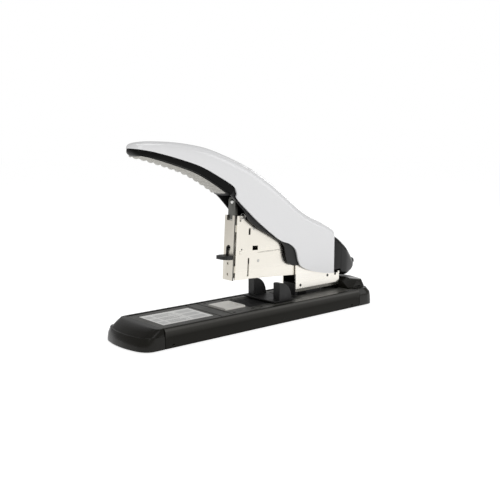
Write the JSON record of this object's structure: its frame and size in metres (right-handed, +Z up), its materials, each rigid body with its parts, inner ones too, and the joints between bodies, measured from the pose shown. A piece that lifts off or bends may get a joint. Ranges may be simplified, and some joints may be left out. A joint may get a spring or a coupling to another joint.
{
  "type": "long reach stapler",
  "caption": "Heavy-duty stapler with a long curved press handle, a deep throat, a sliding paper guide, a pull-out staple magazine and a flat anvil base.",
  "frame": {"origin": "middle of the base's length and width, on the surface that its feet stand on", "axes": "+X from the handle's tip towards the hinge at the rear, -Y the side nearest the picture's camera, +Z up"},
  "size_m": [0.324, 0.072, 0.1872],
  "materials": {
    "cover_white": "glossy",
    "base_dark": "satin",
    "cap_dark": "satin",
    "deck_grey": "satin",
    "black_plastic": "satin",
    "black_gloss": "glossy",
    "lever_paint": "satin",
    "nickel": "satin nickel plate",
    "nickel_front": "satin nickel plate",
    "steel": "plain",
    "dark_steel": "oiled",
    "spring_steel": "drawn",
    "staple_wire": "galvanised",
    "foot_rubber": "matte",
    "grip_rubber": "matte",
    "label_film": "matt film"
  },
  "bodies": {
    "base": {"base_shell": "base_dark", "front_cap": "cap_dark", "rear_cap": "cap_dark", "deck_panel": "deck_grey", "bottom_plate": "steel", "base_beam": "steel", "rubber_feet": "foot_rubber", "base_screws": "steel", "anvil_plate": "nickel", "guide_track": "black_plastic", "info_label": "label_film", "bracket_left": "nickel", "bracket_right": "nickel", "bracket_rivets": "dark_steel", "stop_block": "black_plastic", "main_pivot_pin": "steel", "pivot_clips": "steel", "head_lift_spring": "spring_steel"},
    "guide": {"paper_guide": "black_plastic"},
    "head": {"head_plate_left": "nickel", "head_plate_right": "nickel", "front_plate": "nickel_front", "wire_clip": "spring_steel", "head_rivets": "steel", "spring_seat": "black_plastic", "handle_spring": "spring_steel"},
    "jam_lever": {"jam_lever": "black_plastic"},
    "driver": {"driver_blade": "steel", "driver_holder": "dark_steel", "driver_fork": "steel", "driver_rivet": "staple_wire"},
    "handle": {"handle_cover": "cover_white", "handle_undershell": "black_gloss", "handle_channel": "lever_paint", "grip_pad": "grip_rubber", "driver_pin": "steel"},
    "magazine": {"magazine_rail": "steel", "magazine_end_cap": "black_gloss", "pusher_rod": "steel", "pusher_spring": "spring_steel", "staple_strip": "staple_wire", "button_spring": "spring_steel"},
    "pusher": {"staple_pusher": "black_plastic"},
    "button": {"release_button": "black_plastic"}
  },
  "joints": [
    {"name": "head_tilt", "type": "hinge", "parent": "base", "child": "head", "pos_m": [0.098, 0, 0.062], "axis": [0, -1, 0], "range_deg": [0, 11.1], "stiffness_Nm_per_rad": 4, "springref_deg": -22.92, "deforming": ["head_lift_spring"]},
    {"name": "handle_press", "type": "hinge", "parent": "head", "child": "handle", "pos_m": [0.098, 0, 0.062], "axis": [0, -1, 0], "range_deg": [0, 7.92], "stiffness_Nm_per_rad": 6, "springref_deg": -14.32, "deforming": ["handle_spring"]},
    {"name": "driver_slide", "type": "slide", "parent": "head", "child": "driver", "axis": [-0.0576, 0, -0.9983], "range_m": [0, 0.01599]},
    {"name": "magazine_slide", "type": "slide", "parent": "head", "child": "magazine", "axis": [0.9983, 0, -0.0576], "range_m": [0, 0.1]},
    {"name": "pusher_slide", "type": "slide", "parent": "magazine", "child": "pusher", "axis": [0.9983, 0, -0.0576], "range_m": [0, 0.06], "stiffness_N_per_m": 20, "springref_m": -0.1, "deforming": ["pusher_spring"]},
    {"name": "button_press", "type": "slide", "parent": "magazine", "child": "button", "axis": [-0.9983, 0, 0.0576], "range_m": [0, 0.0025], "stiffness_N_per_m": 400, "springref_m": -0.002, "deforming": ["button_spring"]},
    {"name": "jam_lever_swing", "type": "hinge", "parent": "head", "child": "jam_lever", "pos_m": [-0.03039, 0, 0.07982], "axis": [0, 1, 0], "range_deg": [0, 20], "stiffness_Nm_per_rad": 0.05, "springref_deg": -22.92},
    {"name": "guide_slide", "type": "slide", "parent": "base", "child": "guide", "axis": [1, 0, 0], "range_m": [-0.024, 0.016]}
  ],
  "couplings": [
    {"joint": "driver_slide", "follows": "handle_press", "m_per_rad": 0.11564}
  ]
}
